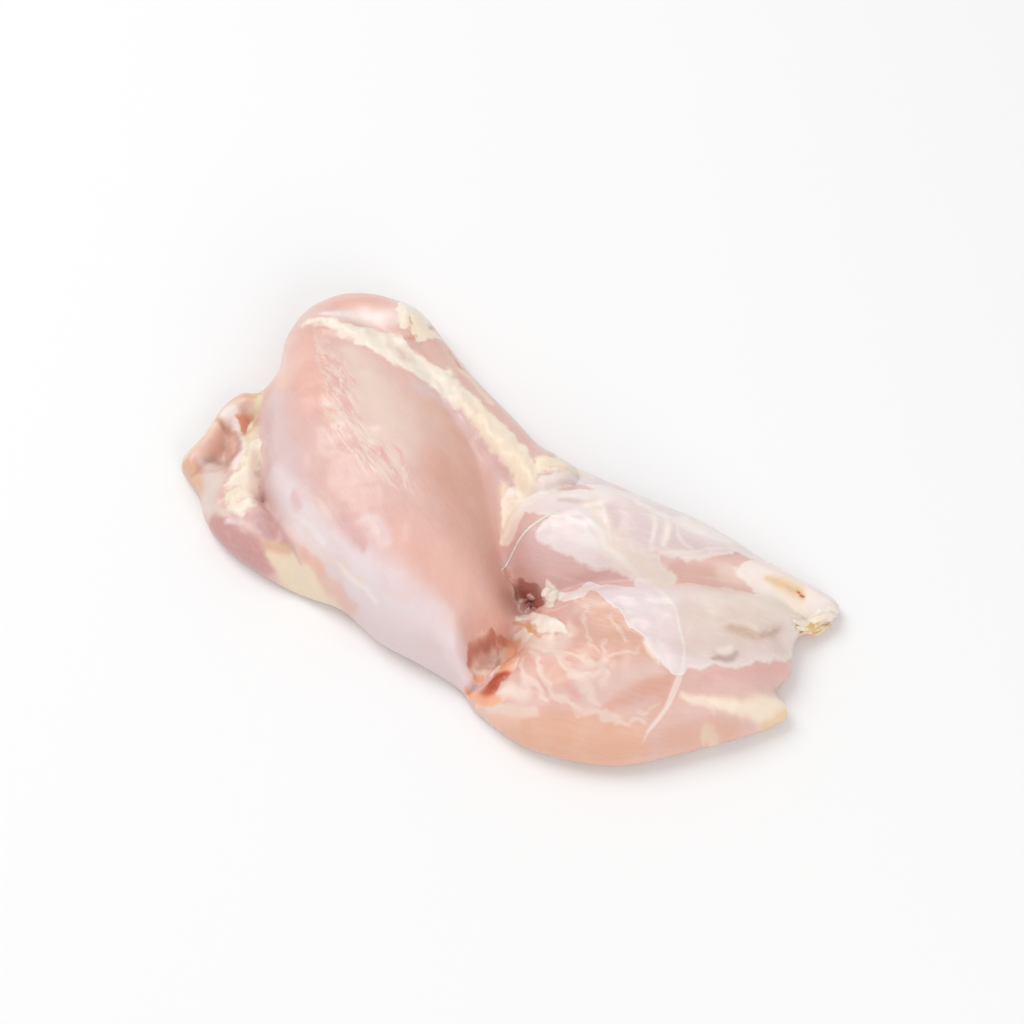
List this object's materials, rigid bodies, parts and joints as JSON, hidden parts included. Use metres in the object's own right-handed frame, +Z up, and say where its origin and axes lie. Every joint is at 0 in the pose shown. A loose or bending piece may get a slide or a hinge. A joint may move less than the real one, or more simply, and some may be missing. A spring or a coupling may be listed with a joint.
{
  "type": "raw chicken thigh",
  "caption": "Boned, skinned chicken thigh opened out flat: a broad domed lobe, a long strand and a front lobe meet in a deep crease, with a thin flap and a seam of fat.",
  "frame": {"origin": "middle of the plan, on the board that the thigh lies on", "axes": "+Z up out of the board; +X along the thigh's longest side, from the flap to the thin tendon tip; +Y away from the cook"},
  "size_m": [0.1702, 0.137, 0.0279],
  "materials": {
    "raw_meat": null
  },
  "bodies": {
    "root": {"thigh": "raw_meat"}
  },
  "joints": []
}
